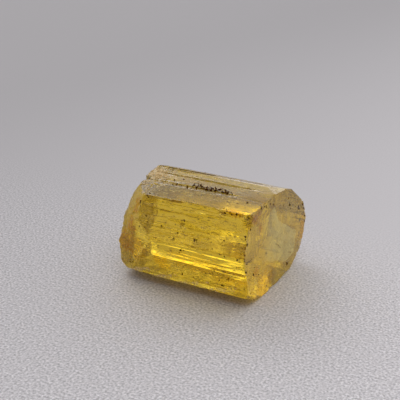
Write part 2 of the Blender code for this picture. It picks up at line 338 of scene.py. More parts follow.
RUST_CLUSTERS = {
    "below the top of the end": ((256, 219), (2.2, 2.6), 90, 0.16, 0.6),
    "tail of that stain": ((260, 227), (1.2, 2.8), 40, 0.12, 0.6),
    "lower end": ((262, 282), (6.0, 6.0), 60, 0.12, 0.6),
    "right rim of the end": ((302, 230), (1.2, 10.0), 50, 0.16, 0.6),
    "lobe at the left": ((127, 250), (5.0, 7.0), 60, 0.16, 0.6),
    "break": ((128, 226), (3.0, 9.0), 50, 0.14, 0.6),
    "front, near the end": ((236, 214), (7.0, 2.0), 40, 0.12, 0.6),
}
GLEAM_CLUSTERS = {
    "dashes over the front": ((196, 230), (26.0, 12.0), 260, 0.26, 0.5),
    "dashes by the ridge": ((234, 240), (6.0, 12.0), 60, 0.24, 0.5),
    "lower front": ((200, 272), (30.0, 6.0), 140, 0.20, 0.6),
}
FLAKE_SEED = 61
FLAKE_DEPTHS = (0.04, 0.20)  # mm under the surface
FROST_DEPTHS = (-0.006, 0.004)
GLEAM_DEPTHS = (0.08, 0.32)
FLAKE_LEAN = 0.5  # how far flakes lean, as a sine
FROST_LEAN = 0.15
GLEAM_LEAN = 0.2
FLAKE_SIZES = (0.3, 1.0)  # shares of the largest radius
FLAKE_WIDTHS = (0.5, 1.4)  # shares of the cluster's width
STEEPEST = 0.8  # a flake that faces an end more than this is longest across the crystal
FLAKE_ROOM = 1.5  # a flake's largest radius, as a share of its depth
LEVEL_ROOM = 0.95  # and that of a level flake
# How flakes look, as (dark colour, light colour, least cover, most cover).
FROST_LOOK = ((1.0, 0.71, 0.29), (1.0, 0.81, 0.46), 0.35, 0.95)
PALE_LOOK = ((0.96, 0.78, 0.33), (1.0, 0.93, 0.70), 0.45, 0.9)
RUST_LOOK = ((1.0, 0.62, 0.15), (1.0, 0.82, 0.35), 0.5, 0.9)

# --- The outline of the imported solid, read by rays from its centre line ---


def tree_of(mesh):
    """A mesh as a search tree, in millimetres."""
    points = [vert.co / MM for vert in mesh.vertices]
    return BVHTree.FromPolygons(points, [tuple(face.vertices) for face in mesh.polygons])


def first_hit(tree, start, ray):
    """(place, normal) where a ray meets the crystal. A ray right along an edge is nudged."""
    for _ in range(NUDGES):
        place, normal, _, _ = tree.ray_cast(start, ray)
        if place is not None:
            return place, normal
        ray = ray + Vector(NUDGE)
    raise ValueError(f"no surface from {start} toward {ray}")


def section_hits(tree):
    """(normal, distance from the centre line) wherever a section's ray meets a long face."""
    found = []
    for share in SECTIONS:
        middle = Vector((share * HIGH.x, CENTRE[1], CENTRE[2]))
        for step in range(SECTION_STEPS):
            turn = math.tau * step / SECTION_STEPS
            ray = Vector((0.0, math.cos(turn), math.sin(turn)))
            place, normal = first_hit(tree, middle, ray)
            if abs(normal.x) < SAME_FACE:
                found.append((normal, normal.dot(place - middle)))
    return found


def long_faces(tree):
    """The long faces in order round the centre line: (angle of the normal, distance from it)."""
    groups = []
    for normal, distance in section_hits(tree):
        for first, distances in groups:
            if (first - normal).length < SAME_FACE:
                distances.append(distance)
                break
        else:
            groups.append((normal, [distance]))
    return sorted(
        (math.atan2(normal.z, normal.y), max(distances))
        for normal, distances in groups
        if len(distances) >= LEAST_HITS
    )


def edges_of(faces):
    """Where each long face meets the next one, as (y, z) from the centre line."""
    places = []
    for first, second in zip(faces, faces[1:] + faces[:1]):
        lines = [[math.cos(angle), math.sin(angle)] for angle, _ in (first, second)]
        places.append(np.linalg.solve(lines, [first[1], second[1]]))
    return places


def columns_of(faces):
    """Each column's angle, its way round the crystal in mm and its long face, and where each face
    starts on that way. Each edge gets a column."""
    edges = edges_of(faces)
    widths = [float(np.linalg.norm(edges[i] - edges[i - 1])) for i in range(len(faces))]
    counts = [max(2, round(COLUMNS * width / sum(widths))) for width in widths]
    counts[counts.index(max(counts))] += COLUMNS - sum(counts)
    angles, around, owner = [], [], []
    for i, count in enumerate(counts):
        for share in np.arange(count) / count:
            y, z = edges[i - 1] + (edges[i] - edges[i - 1]) * share
            angles.append(math.atan2(z, y))
            around.append(sum(widths[:i]) + widths[i] * share)
            owner.append(i)
    return np.array(angles), np.array(around), np.array(owner), np.cumsum([0.0] + widths)


def crossing(first, second, away):
    """The corner between the surfaces of two hits in a column's half-plane, as (x, r)."""
    hits = (first, second)
    lines = np.array([(normal.x, normal.dot(away)) for _, normal in hits])
    if abs(np.linalg.det(lines)) < LEAST_CROSSING:
        return np.array(first[0])
    return np.linalg.solve(lines, [np.dot(line, hit[0]) for line, hit in zip(lines, hits)])


def column_outline(tree, angle):
    """A column's three stretches over the cleavage, the side and the break, as points (x, r)."""
    away = Vector((0.0, math.cos(angle), math.sin(angle)))
    hits = []
    for step in range(PROFILE_STEPS + 1):
        lean = math.pi * step / PROFILE_STEPS
        ray = Vector((math.cos(lean), 0.0, 0.0)) + away * math.sin(lean)
        place, normal = first_hit(tree, Vector(CENTRE), ray)
        out = place - Vector(CENTRE)
        hits.append(((out.x, out.dot(away)), normal))
    right = next(i for i, (_, normal) in enumerate(hits) if normal.x < CLEAVAGE_LEAN)
    left = len(hits) - 1
    while min(normal.x for _, normal in hits[left - BREAK_RUN : left + 1]) < BREAK_LEAN:
        left -= 1
    first = crossing(hits[right - 1], hits[right], away)
    last = crossing(hits[left], hits[left + 1], away)
    places = np.array([place for place, _ in hits])
    return (
        np.vstack([places[:right], first]),
        np.vstack([first, places[right : left + 1], last]),
        np.vstack([last, places[left + 1 :]]),
    )


def spread(line, shares):
    """Points at these shares of the length of a line."""
    steps = np.linalg.norm(np.diff(line, axis=0), axis=1)
    run = np.concatenate([[0.0], np.cumsum(steps)])
    return np.column_stack([np.interp(shares * run[-1], run, line[:, axis]) for axis in (0, 1)])

# --- The fine mesh of the crystal ---


def row_shares():
    """How far along its stretch each row lies, for the cleavage, the side and the break."""
    cleavage = 1.0 - (1.0 - np.linspace(0.0, 1.0, CLEAVAGE_ROWS + 1)) ** RIM_CROWDING
    side = np.linspace(0.0, 1.0, SIDE_ROWS + 1)[1:]
    rough = np.linspace(0.0, 1.0, BREAK_ROWS + 1)[1:]
    return cleavage, side, rough


def column_steps():
    """For each row, how many columns share one point there: more toward an end's middle."""
    cleavage, side, rough = row_shares()
    right = np.select([cleavage > share for share in CLEAVAGE_BEYOND], JOINED, JOINED_MOST)
    left = np.select([rough < share for share in BREAK_WITHIN], JOINED, JOINED_MOST)
    steps = np.concatenate([right, np.ones(len(side), int), left])
    steps[0] = steps[-1] = COLUMNS
    return steps


def grid_of(tree, angles):
    """The crystal's surface as rows by columns of points."""
    shares = row_shares()
    grid = np.zeros((sum(len(part) for part in shares), COLUMNS, 3))
    for column, angle in enumerate(angles):
        stretches = column_outline(tree, angle)
        rows = np.vstack([spread(line, part) for line, part in zip(stretches, shares)])
        away = np.array((0.0, math.cos(angle), math.sin(angle)))
        grid[:, column] = CENTRE + rows[:, :1] * (1.0, 0.0, 0.0) + rows[:, 1:] * away
    return grid


def blurred(values, width):
    """Values smoothed along the rows, with a bell of this width in rows."""
    reach = int(3 * width)
    bell = np.exp(-((np.arange(-reach, reach + 1) / width) ** 2))
    padded = np.pad(values, ((reach, reach), (0, 0)), mode="edge")
    return sum(share * padded[i : i + len(values)] for i, share in enumerate(bell)) / bell.sum()


def soften_steps(grid, faces, owner):
    """Rounds off the ends of the growth steps on the long faces, along the crystal."""
    turns, distances = np.array(faces)[owner].T
    outward = np.column_stack([np.zeros(COLUMNS), np.cos(turns), np.sin(turns)])
    depth = distances - ((grid - CENTRE) * outward).sum(axis=2)
    rows = np.arange(len(grid))[:, None]
    side = (rows > CLEAVAGE_ROWS) & (rows < CLEAVAGE_ROWS + SIDE_ROWS)
    on_face = side & (depth < DEEPEST_STEP)
    weight = blurred(on_face * 1.0, STEP_SOFTNESS)
    soft = blurred(np.where(on_face, depth, 0.0), STEP_SOFTNESS) / np.maximum(weight, 1e-6)
    share = rise(HIGH.x - grid[:, :, 0], *SOFTENED_FROM)
    return grid + outward * np.where(on_face, share * (depth - soft), 0.0)[:, :, None]


def untangled(points):
    """The grid's points, with the few places evened out where the relief would fold over itself."""
    for _ in range(UNTANGLINGS):
        along = points[1:] - points[:-1]
        around = (np.roll(points, -1, axis=1) - points)[:-1]
        facing = (np.cross(along, around) * (points[:-1] - CENTRE)).sum(axis=2)
        folded = facing * np.sign(np.median(facing)) < 0.0
        near = np.zeros(points.shape[:2], bool)
        near[:-1] |= folded
        near[1:] |= folded
        near |= np.roll(near, 1, axis=1) | np.roll(near, -1, axis=1)
        sides = np.roll(points, 1, axis=1) + np.roll(points, -1, axis=1)
        mean = (points[:-2] + points[2:] + sides[1:-1]) / 4
        points[1:-1] = np.where(near[1:-1, :, None], mean, points[1:-1])
    return points


def grid_normals(grid):
    """Outward normals of the grid's points, smoothed over their neighbours."""
    along = np.gradient(grid, axis=0)
    wrapped = np.concatenate([grid[:, -1:], grid, grid[:, :1]], axis=1)
    normals = np.cross(wrapped[:, 2:] - wrapped[:, :-2], along)
    normals[0], normals[-1] = (1.0, 0.0, 0.0), (-1.0, 0.0, 0.0)
    normals /= np.maximum(np.linalg.norm(normals, axis=2, keepdims=True), 1e-9)
    outward = (normals * (grid - CENTRE)).sum(axis=2, keepdims=True)
    return normals * np.where(outward < 0.0, -1.0, 1.0)


def triangles_between(steps):
    """The triangles between the rows, where some columns share a point, as numbers of points."""
    columns = np.arange(COLUMNS)
    shared = np.array([columns - columns % step for step in steps])
    numbers = np.arange(len(steps))[:, None] * COLUMNS + shared
    after = np.roll(numbers, -1, axis=1)
    a, b, c, d = numbers[:-1], numbers[1:], after[1:], after[:-1]
    triangles = np.concatenate([np.stack([a, b, c], 2), np.stack([a, c, d], 2)]).reshape(-1, 3)
    repeats = (triangles == np.roll(triangles, 1, axis=1)).any(axis=1)
    return triangles[~repeats]


def new_mesh(name, points, triangles):
    """A mesh in metres of these points in millimetres and triangles."""
    mesh = bpy.data.meshes.new(name)
    mesh.from_pydata((points * MM).tolist(), [], triangles.tolist())
    mesh.update()
    return mesh


def add_piece(name, mesh, material):
    """A finished piece of the crystal, which belongs to its body and takes this material."""
    piece = bpy.data.objects.new(name, mesh)
    bpy.context.scene.collection.objects.link(piece)
    mesh.materials.append(material)
    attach(piece, BODY)
    return piece

# --- Relief of the crystal's surface ---


def rise(values, low, high):
    """0 below low, 1 above high, and a smooth rise between them."""
    share = np.clip((values - low) / (high - low), 0.0, 1.0)
    return share * share * (3.0 - 2.0 * share)


def noise_at(points, what):
    """One of the noises, from about -1 to 1, at points in mm."""
    scale, octaves, start = NOISES[what]
    shift = Vector([share * start for share in NOISE_SHIFT])
    places = (Vector(point) + shift for point in points.reshape(-1, 3) * scale)
    if octaves == 1:
        values = [noise.noise(place) for place in places]
    else:
        values = [noise.fractal(place, 1.0, 2.0, octaves) for place in places]
    return np.array(values).reshape(points.shape[:-1])


def zigzag(rng, length):
    """One set of growth lines round the crystal, as (places in mm, heights from -1 to 0)."""
    places = [0.0]
    while places[-1] < length:
        places.append(places[-1] + rng.uniform(*LINE_WIDTHS))
    heights = [rng.uniform(-1.0, 0.0) for _ in places]
    places[-1] = length
    heights[-1] = heights[0]
    return places, heights


def growth_lines(grid, around, length):
    """Relief of the growth lines, from -1 to 0, in sets that follow each other along X."""
    rng = random.Random(LINE_SEED)
    wander = LINE_WANDER * noise_at(grid, "wander of the lines")
    relief, weights = 0.0, 1e-6
    for number in range(LINE_SETS):
        line = np.interp(around, *zigzag(rng, length))
        middle = LOW.x + (HIGH.x - LOW.x) * (number + 0.5) / LINE_SETS
        weight = np.exp(-(((grid[:, :, 0] + wander - middle) / LINE_REACH) ** 2))
        relief = relief + weight * line
        weights = weights + weight
    return relief / weights


def line_strength(faces, owner):
    """How deeply each column is lined."""
    strength = np.full(len(faces), LINES_PLAIN)
    for wanted, share in LINED_FACES:
        turns = [abs(math.degrees(angle) % 360.0 - wanted) for angle, _ in faces]
        strength[turns.index(min(turns))] = share
    return strength[owner]


def etch_pits(grid, around, length, count):
    """Small long dimples, as a depth in mm at every point."""
    rng = random.Random(PIT_SEED)
    depth = np.zeros(grid.shape[:2])
    for _ in range(count):
        middle, place = rng.uniform(LOW.x, HIGH.x), rng.uniform(0.0, length)
        half = rng.uniform(*PIT_LENGTHS) / 2
        across = half * rng.uniform(*PIT_SLIMNESS)
        gap = np.abs(around - place)
        gap = np.minimum(gap, length - gap) / across
        share = 1.0 - ((grid[:, :, 0] - middle) / half) ** 2 - gap**2
        depth = np.maximum(depth, rng.uniform(*PIT_DEPTHS) * np.clip(share, 0.0, 1.0))
    return depth


def edge_nearness(grid, around, corners):
    """1 on an edge of the crystal, falling to 0 beside it."""
    first, last = CLEAVAGE_ROWS, CLEAVAGE_ROWS + SIDE_ROWS
    gap = np.abs(around[:, None] - corners[None, :]).min(axis=1)
    along = np.full(grid.shape[:2], np.inf)
    along[first : last + 1] = gap
    to_ends = [np.linalg.norm(grid - grid[row], axis=2) for row in (first, last)]
    nearest = np.minimum.reduce([along, *to_ends])
    return np.exp(-((nearest / WEAR_WIDTH) ** 2))


def masks_of(grid, normals):
    """Where the surface is the break, the cleavage, the underside (which takes a painted shade
    tint) or etched, from 0 to 1.
    """
    rows = np.arange(grid.shape[0])[:, None]
    last = CLEAVAGE_ROWS + SIDE_ROWS
    beside = np.linalg.norm(grid - grid[last], axis=2)
    middle, stray, least = BREAK_REACH
    reach = np.maximum(middle + stray * noise_at(grid, "reach of the break"), least)
    rough = np.where(rows >= last, 1.0, 1.0 - rise(beside, 0.0, reach))
    near_break = rise(-grid[:, :, 0], *BREAK_HALF)
    rough = np.maximum(rough, near_break * rise(-normals[:, :, 0], *BREAK_FACING))
    cleavage = np.where(rows <= CLEAVAGE_ROWS, 1.0, 0.0) + np.zeros_like(rough)
    down = -normals[:, :, 2]
    # faces that face down, which get a painted shade tint
    under = rise(down, *SHADE_PAINTED_FACING)
    etched = rise(down, *ETCHED_FACING) * rise(HIGH.x - grid[:, :, 0], *ETCHED_FROM)
    return {"break": rough, "cleavage": cleavage, "underside": under, "etched": etched}

# --- Materials ---


MIX_COLOURS = slice(6, 8)  # the sockets of a mix node that take colours
MIX_RESULT = 2  # and the one that gives their mix


def new_material(name):
    """An empty material and its node tree."""
    material = bpy.data.materials.new(name)
    material.use_nodes = True
    material.node_tree.nodes.clear()
    return material, material.node_tree


def finished(material, inputs, filling=None):
    """The material with a principled surface of these inputs, and with its filling, if any."""
    tree = material.node_tree
    shader = add_node(tree, "ShaderNodeBsdfPrincipled", inputs)
    output = add_node(tree, "ShaderNodeOutputMaterial", {"Surface": shader.outputs["BSDF"]})
    if filling is not None:
        tree.links.new(filling, output.inputs["Volume"])
    return material


def add_node(tree, kind, inputs=(), **settings):
    """A node with these settings. Each input is a plain value, or a socket to link from."""
    node = tree.nodes.new(kind)
    for name, value in settings.items():
        setattr(node, name, value)
    for name, value in dict(inputs).items():
        if isinstance(value, bpy.types.NodeSocket):
            tree.links.new(value, node.inputs[name])
        else:
            node.inputs[name].default_value = value
    return node


def mask_node(tree, name):
    """A mask that the mesh carries."""
    return add_node(tree, "ShaderNodeAttribute", attribute_name=name).outputs["Fac"]


def rise_node(tree, value, low, high, to_low=0.0, to_high=1.0):
    """A smooth step from to_low, where value is low, to to_high, where it is high."""
    inputs = {"Value": value, 1: low, 2: high, 3: to_low, 4: to_high}
    node = add_node(tree, "ShaderNodeMapRange", inputs, interpolation_type="SMOOTHSTEP")
    return node.outputs["Result"]


def math_node(tree, operation, first, second=0.0):
    return add_node(tree, "ShaderNodeMath", {0: first, 1: second}, operation=operation).outputs[0]


def mix_node(tree, factor, first, second):
    """A mix of two colours."""
    node = add_node(tree, "ShaderNodeMix", {"Factor": factor}, data_type="RGBA")
    for socket, value in zip(node.inputs[MIX_COLOURS], (first, second)):
        if isinstance(value, bpy.types.NodeSocket):
            tree.links.new(value, socket)
        else:
            socket.default_value = (*value, 1.0)
    return node.outputs[MIX_RESULT]


def place_node(tree):
    """Places on the object in millimetres."""
    place = add_node(tree, "ShaderNodeTexCoord").outputs["Object"]
    inputs = {"Vector": place, "Scale": Vector((1.0, 1.0, 1.0)) / MM}
    return add_node(tree, "ShaderNodeMapping", inputs).outputs["Vector"]


def axis_node(tree, place, axis):
    return add_node(tree, "ShaderNodeSeparateXYZ", {"Vector": place}).outputs[axis]


def along_node(tree, place, way):
    """How far a place lies along a way."""
    node = add_node(tree, "ShaderNodeVectorMath", {0: place, 1: way}, operation="DOT_PRODUCT")
    return node.outputs["Value"]


def noise_node(tree, scale, detail, roughness):
    place = place_node(tree)
    inputs = {"Vector": place, "Scale": scale, "Detail": detail, "Roughness": roughness}
    return add_node(tree, "ShaderNodeTexNoise", inputs).outputs["Fac"]


def cloud_node(tree, what, to_low=0.0, to_high=1.0):
    """Cloudy patches, from to_low to to_high."""
    *lumps, low, high = CLOUDS[what]
    return rise_node(tree, noise_node(tree, *lumps), low, high, to_low, to_high)


def topaz_material(look):
    """Clear golden topaz: satin where it is lined, glassy on the cleavage, frosted on the break."""
    material, tree = new_material("golden topaz")
    pale = mask_node(tree, "pale")
    satin = cloud_node(tree, "satin", look.gloss, look.gloss + SATIN_SPREAD)
    glassy = rise_node(tree, mask_node(tree, "cleavage"), 0.0, 1.0, 1.0, CLEAVAGE_ROUGHNESS)
    roughness = math_node(tree, "MULTIPLY", satin, glassy)
    for mask, share in (
        (mask_node(tree, "break"), look.frost),
        (pale, look.frost),
        (mask_node(tree, "etched"), look.etching),
    ):
        matt = math_node(tree, "MULTIPLY", mask, share)
        roughness = math_node(tree, "MAXIMUM", roughness, matt)
    patchy = cloud_node(tree, "stain", LEAST_STAIN, 1.0)
    stain = math_node(tree, "MULTIPLY", mask_node(tree, "stain"), patchy)
    # painted shade: the faces that face down take a near-black tint, so little light comes through
    # them and the floor under the crystal darkens
    skin = mix_node(tree, mask_node(tree, "underside"), look.skin, UNDERSIDE_PAINTED_SHADE)
    # the pale mask holds crushed skin, the painted sheen of the top face and a painted highlight
    # along the foot edge
    clear = mix_node(tree, pale, skin, PALE_SKIN_AND_SHEEN)
    gold = mix_node(tree, rise_node(tree, stain, 0.0, 0.5), clear, GOLD)
    inputs = {
        "Base Color": mix_node(tree, rise_node(tree, stain, 0.5, 1.0), gold, look.stain_colour),
        "Roughness": roughness,
        "IOR": look.refraction,
        "Transmission Weight": 1.0,
        "Specular Tint": mix_node(tree, stain, SHEEN, DULL),
    }
    depth = {"Color": (*look.tint, 1.0), "Density": look.depth_of_colour}
    absorption = add_node(tree, "ShaderNodeVolumeAbsorption", depth)
    return finished(material, inputs, absorption.outputs["Volume"])


def oxide_material(look):
    """Dull dark oxide, redder where it is thin."""
    material, tree = new_material("iron oxide")
    red = tuple(min(1.0, OXIDE_RED * share) for share in look.oxide_colour)
    inputs = {
        "Base Color": mix_node(tree, cloud_node(tree, "oxide"), look.oxide_colour, red),
        "Roughness": cloud_node(tree, "oxide finish", *OXIDE_ROUGHNESS),
        "Specular IOR Level": 0.0,
    }
    return finished(material, inputs)


def gleam_material(name):
    """The pale gleam of a gas-filled tube or crack."""
    material, tree = new_material(name)
    colour = mix_node(tree, cloud_node(tree, "gleam"), *GLEAM_COLOURS)
    return finished(material, {"Base Color": colour, "Metallic": 1.0, "Roughness": 0.15})


def feather_material():
    """A flat crack that mirrors a little and lets most light through."""
    material, tree = new_material("feather")
    across = rise_node(tree, axis_node(tree, place_node(tree), "Y"), *FEATHER_FADE)
    alpha = math_node(tree, "MULTIPLY", cloud_node(tree, "feather", *FEATHER_COVER), across)
    white = (1.0, 1.0, 1.0, 1.0)
    inputs = {"Base Color": white, "Metallic": 1.0, "Roughness": 0.12, "Alpha": alpha}
    return finished(material, inputs)


def flake_material(name, dark, light, least, most):
    """Thin matt flakes, cloudy from one colour and cover to the other."""
    material, tree = new_material(name)
    cloud = cloud_node(tree, "flake")
    colour = mix_node(tree, cloud, dark, light)
    alpha = rise_node(tree, cloud, 0.0, 1.0, least, most)
    return finished(material, {"Base Color": colour, "Roughness": 0.5, "Alpha": alpha})


def floor_material(look):
    """Pale matt paper with a fine grain, and painted light that makes it palest toward the front
    right.
    """
    material, tree = new_material("pale paper")
    place = add_node(tree, "ShaderNodeTexCoord").outputs["Object"]
    # painted light: the floor's colour is scaled from darker to paler across the view, in place of
    # the light's falloff
    (near, dark), (far, pale) = FLOOR_PAINTED_FALLOFF
    painted_falloff = rise_node(tree, along_node(tree, place, PAINTED_FALLOFF_WAY), near, far, dark, pale)
    grain = noise_node(tree, *FLOOR_LUMPS)
    near_grain, far_grain = look.floor_grain, FAR_GRAIN * look.floor_grain
    depth = rise_node(tree, axis_node(tree, place, "Y"), *GRAIN_FADE, near_grain, far_grain)
    spread = math_node(tree, "MULTIPLY", math_node(tree, "SUBTRACT", grain, 0.5), depth)
    level = math_node(tree, "MULTIPLY", painted_falloff, math_node(tree, "ADD", spread, 1.0))
    tinted = {0: look.floor_colour, "Scale": level}
    colour = add_node(tree, "ShaderNodeVectorMath", tinted, operation="SCALE").outputs["Vector"]
    return finished(material, {"Base Color": colour, "Roughness": 0.8})

# --- The pieces ---


def relief_of(grid, normals, around, owner, corners, faces, look):
    """How far each point of the grid moves along its normal in mm, and the surface's masks."""
    length = corners[-1]
    masks = masks_of(grid, normals)
    rough, cleavage = masks["break"], masks["cleavage"]
    side = (1.0 - rough) * (1.0 - cleavage)
    line_depth, break_depth = look.line_depth / MM, look.break_depth / MM
    lines = growth_lines(grid, around, length) * line_strength(faces, owner)
    lumps, ledges = noise_at(grid, "lumps"), noise_at(grid, "ledges")
    move = side * (lines * line_depth + noise_at(grid, "swell") * SWELL - SWELL)
    move -= side * etch_pits(grid, around, length, look.pits)
    move += rough * break_depth * (BREAK_SHARE * lumps + BREAK_SHARE * ledges - BREAK_SHARE)
    move += cleavage * (noise_at(grid, "ripple") - 1.0) * RIPPLE
    chips = rise(noise_at(grid, "chips"), *CHIPPED)
    move -= edge_nearness(grid, around, corners) * (LEAST_WEAR + look.wear / MM * chips)
    move -= masks["etched"] * (1.0 + noise_at(grid, "etching")) * ETCH_DEPTH
    return move, masks


def make_body(look, stage):
    """The clear crystal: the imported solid's surface on a fine grid, with its relief and masks."""
    tree = tree_of(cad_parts[NODE].data)
    faces = long_faces(tree)
    angles, around, owner, corners = columns_of(faces)
    grid = soften_steps(grid_of(tree, angles), faces, owner)
    normals = grid_normals(grid)
    move, masks = relief_of(grid, normals, around, owner, corners, faces, look)
    points = untangled(grid + normals * move[:, :, None])
    points[0], points[-1] = points[0].mean(axis=0), points[-1].mean(axis=0)
    points[:, :, 2] = np.maximum(points[:, :, 2], 0.0)
    used, numbers = np.unique(triangles_between(column_steps()), return_inverse=True)
    mesh = new_mesh("clear topaz", points.reshape(-1, 3)[used], numbers.reshape(-1, 3))
    masks["stain"] = spots_of(grid, tree, stage, STAINS, "stains")
    # painted sheen: faces that face up turn pale as well as matt; the matt finish is real, the
    # paleness stands in for the reflection on the top face
    painted_top_sheen = look.top_sheen_painted * rise(normals[:, :, 2], *SHEEN_PAINTED_FACING)
    masks["pale"] = np.maximum(spots_of(grid, tree, stage, PALE_AND_HIGHLIGHT_SPOTS, "pale spots"), painted_top_sheen)
    for name, mask in masks.items():
        attribute = mesh.attributes.new(name, "FLOAT", "POINT")
        attribute.data.foreach_set("value", mask.reshape(-1)[used])
    mesh.shade_smooth()
    mesh.set_sharp_from_angle(angle=SHARP_FROM)
    body = add_piece("clear_topaz", mesh, topaz_material(look))
    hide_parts(NODE)
    return body


def joined_mesh(name, shapes):
    """One mesh in metres of many shapes, each given as (points in mm, triangles)."""
    points, triangles, start = [], [], 0
    for shape_points, shape_triangles in shapes:
        points.append(np.asarray(shape_points))
        triangles.append(np.asarray(shape_triangles) + start)
        start += len(shape_points)
    return new_mesh(name, np.vstack(points), np.vstack(triangles))


def ball(detail):
    """The points and triangles of a round ball with radius 1."""
    bm = bmesh.new()
    bmesh.ops.create_icosphere(bm, subdivisions=detail, radius=1.0)
    points = np.array([vert.co[:] for vert in bm.verts])
    triangles = np.array([[vert.index for vert in face.verts] for face in bm.faces])
    bm.free()
    return points, triangles


def random_step(rng, most):
    """A random way, at most this long along each axis."""
    return Vector([rng.uniform(-most, most) for _ in range(3)])


def random_turn(rng):
    angles = [rng.uniform(0.0, math.tau) for _ in range(3)]
    return np.array(Euler(angles).to_matrix())


def grain_shape(rng, round_ball, place, normal):
    """One crumb of oxide, lumpy and longer than wide, sunk a little into the surface."""
    points, triangles = round_ball
    radius = rng.uniform(*GRAIN_SIZES) * rng.choice(GRAIN_CLASSES)
    scale, height = GRAIN_LUMPS
    own = Vector(place) * GRAIN_VARIETY
    bumps = np.array([noise.noise(Vector(point) * scale + own) for point in points])
    half_length, half_width = rng.uniform(*GRAIN_LENGTHS), rng.uniform(*GRAIN_WIDTHS)
    sizes = (radius * half_length, radius * half_width, radius * GRAIN_THICKNESS)
    lump = points * (1.0 + height * bumps)[:, None] * sizes
    centre = np.array(place) - np.array(normal) * radius * GRAIN_SUNK
    return lump @ random_turn(rng).T + centre, triangles


def seen_places(rng, tree, stage):
    """Where the grains lie on the sides that the camera sees."""
    for first, last, count, stray in GRAIN_RUNS.values():
        for number in range(count):
            share = (number + rng.random()) / count
            pixel = [a + (b - a) * share + rng.gauss(0.0, stray) for a, b in zip(first, last)]
            place, normal = sight(tree, stage, pixel)
            if place is not None:
                yield place, normal


def hidden_places(rng, tree, stage):
    """Where the grains lie on the back and the underside, clear of what the crystal rests on."""
    toward_camera = camera_place(stage).to_3x3().col[2]
    found = 0
    while found < HIDDEN_GRAINS:
        x = rng.uniform(LOW.x + END_CLEAR, HIGH.x - END_CLEAR)
        place, normal = outward_hit(tree, x, rng.uniform(0.0, math.tau))
        if normal.dot(toward_camera) < 0.0 and place.z > REST_CLEAR:
            found += 1
            yield place, normal


def body_tree():
    """The finished crystal as a search tree."""
    return tree_of(bpy.data.objects["clear_topaz"].data)


def make_grains(look, stage):
    """Crumbs of iron and manganese oxide on the surface, in chains along the growth lines."""
    rng = random.Random(GRAIN_SEED)
    tree = body_tree()
    round_ball = ball(2)
    places = [*seen_places(rng, tree, stage), *hidden_places(rng, tree, stage)]
    shapes = [grain_shape(rng, round_ball, place, normal) for place, normal in places]
    return add_piece("oxide_grains", joined_mesh("oxide grains", shapes), oxide_material(look))


def spindle(place, along, half_length, half_width):
    """A slender tube that tapers to a point at both ends, as points and triangles."""
    along = np.array(along)
    side = np.array(Vector(along).orthogonal().normalized())
    other = np.cross(along, side)
    turns = np.arange(TUBE_SIDES) * math.tau / TUBE_SIDES
    ring = half_width * (np.cos(turns)[:, None] * side + np.sin(turns)[:, None] * other)
    waist = along * half_length * TUBE_WAIST
    tips = np.array([along, -along]) * half_length
    points = np.vstack([ring + waist, ring - waist, tips]) + np.array(place)
    triangles = []
    for i in range(TUBE_SIDES):
        j = (i + 1) % TUBE_SIDES
        low_i, low_j = i + TUBE_SIDES, j + TUBE_SIDES
        triangles += [(i, low_i, j), (j, low_i, low_j)]
        triangles += [(i, j, 2 * TUBE_SIDES), (low_j, low_i, 2 * TUBE_SIDES + 1)]
    return points, triangles


def tube_at(rng, place, normal, length):
    """A tube under the surface: along the crystal, or across it where it is seen from the end."""
    along = ALONG if abs(normal.x) < END_FACING else ACROSS
    lean = random_step(rng, TUBE_LEAN)
    middle = place - normal * rng.uniform(*TUBE_DEPTHS)
    return spindle(middle, (along + lean).normalized(), length / 2, rng.uniform(*TUBE_WIDTHS) / 2)


def make_tubes(look, stage):
    """Fine growth tubes just under the surface, most of them along the crystal."""
    rng = random.Random(TUBE_SEED)
    tree = body_tree()
    shapes = []
    for pixel, length in TUBE_SIGHTS:
        place, normal = sight(tree, stage, pixel)
        shapes.append(tube_at(rng, place, normal, length))
    for first, last, count, length, turn in LINE_SIGHTS:
        for number in range(count):
            share = (number + LINE_SIGHT_SPREAD * rng.random()) / count
            pixel = [a + (b - a) * share for a, b in zip(first, last)]
            place, normal = sight(tree, stage, pixel)
            way = Matrix.Rotation(math.radians(turn), 3, normal) @ ALONG
            middle = place - normal * LINE_SIGHT_DEPTH
            half = length * rng.uniform(*LINE_SIGHT_LENGTHS) / 2
            shapes.append(spindle(middle, way, half, LINE_SIGHT_WIDTH / 2))
    for _ in range(look.tubes):
        x = rng.uniform(LOW.x + TUBE_CLEAR[0], HIGH.x - TUBE_CLEAR[1])
        place, normal = outward_hit(tree, x, rng.uniform(0.0, math.tau))
        if abs(normal.x) < TUBE_FACING:
            shapes.append(tube_at(rng, place, normal, rng.uniform(*TUBE_LENGTHS)))
    shapes = [
        (points, triangles)
        for points, triangles in shapes
        if all(inside(tree, Vector(tip)) > 0.0 for tip in points[-2:])
    ]
    mesh = joined_mesh("growth tubes", shapes)
    return add_piece("growth_tubes", mesh, gleam_material("pale tube"))


def feather_plate(rng, tree, stage):
    """The flat crack under the end: points and triangles of a thin plate with a ragged rim."""
    corners = [sight(tree, stage, pixel)[0] for pixel in FEATHER_OUTLINE]
    middle = sum(corners, Vector()) / len(corners)
    rim = []
    for start, end in zip(corners, corners[1:] + corners[:1]):
        for step in range(FEATHER_STEPS):
            stray = random_step(rng, FEATHER_STRAY)
            rim.append(start.lerp(end, step / FEATHER_STEPS) + stray)
    points = [Vector((HIGH.x - FEATHER_DEPTH, p.y, p.z)) for p in (*rim, middle)]
    count = len(points)
    triangles = []
    for i in range(count - 1):
        j = (i + 1) % (count - 1)
        triangles += [(i, j, count - 1), (j + count, i + count, 2 * count - 1)]
        triangles += [(j, i, i + count), (j, i + count, j + count)]
    back = [p - Vector((CRACK_THICKNESS, 0.0, 0.0)) for p in points]
    return np.array([*points, *back]), triangles


